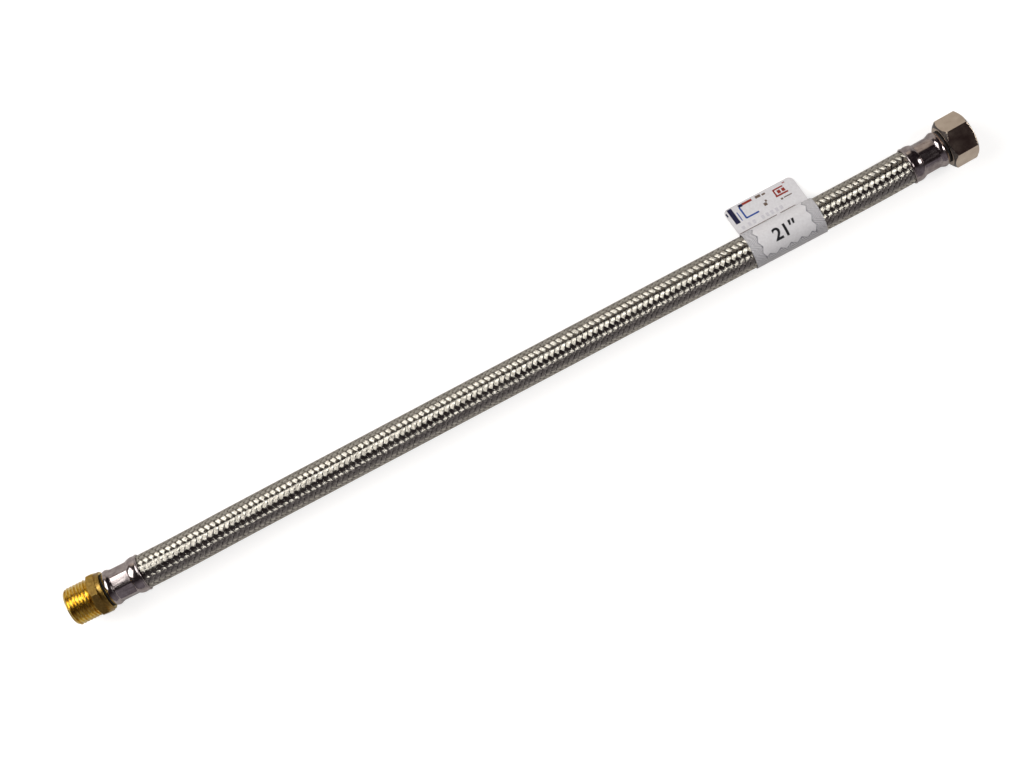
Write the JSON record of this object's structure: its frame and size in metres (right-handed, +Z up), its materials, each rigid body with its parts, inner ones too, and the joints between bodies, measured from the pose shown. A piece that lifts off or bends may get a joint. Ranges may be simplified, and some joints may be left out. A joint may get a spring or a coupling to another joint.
{
  "type": "braided flexible hose",
  "caption": "Braided stainless steel water hose with a brass male thread end, a swivelling hexagon union nut and a folded size label.",
  "frame": {"origin": "middle of the hose's box, on the table that it lies on", "axes": "+X along the hose from the male thread to the union nut, +Y to the side of the label's flag, +Z up"},
  "size_m": [0.5344, 0.0369, 0.025],
  "materials": {
    "brass": "turned brass, bright",
    "stainless_steel": "pressed stainless steel, polished",
    "epdm_rubber": "black rubber",
    "stainless_wire": "bright drawn wire, woven",
    "tail_brass": "turned brass",
    "nickel_plating": "nickel plated brass, polished",
    "washer_rubber": "flat black rubber",
    "printed_film": "glossy white printed film"
  },
  "bodies": {
    "hose": {"male_fitting": "brass", "male_ferrule": "stainless_steel", "inner_hose": "epdm_rubber", "wire_braid": "stainless_wire", "nut_ferrule": "stainless_steel", "swivel_tail": "tail_brass", "sealing_washer": "washer_rubber", "size_label": "printed_film"},
    "union_nut": {"swivel_nut": "nickel_plating"}
  },
  "joints": [
    {"name": "nut_swivel", "type": "hinge", "parent": "hose", "child": "union_nut", "pos_m": [0.25899, -0.00342, 0.012], "axis": [0.9996, 0.0279, 0], "continuous": true}
  ]
}
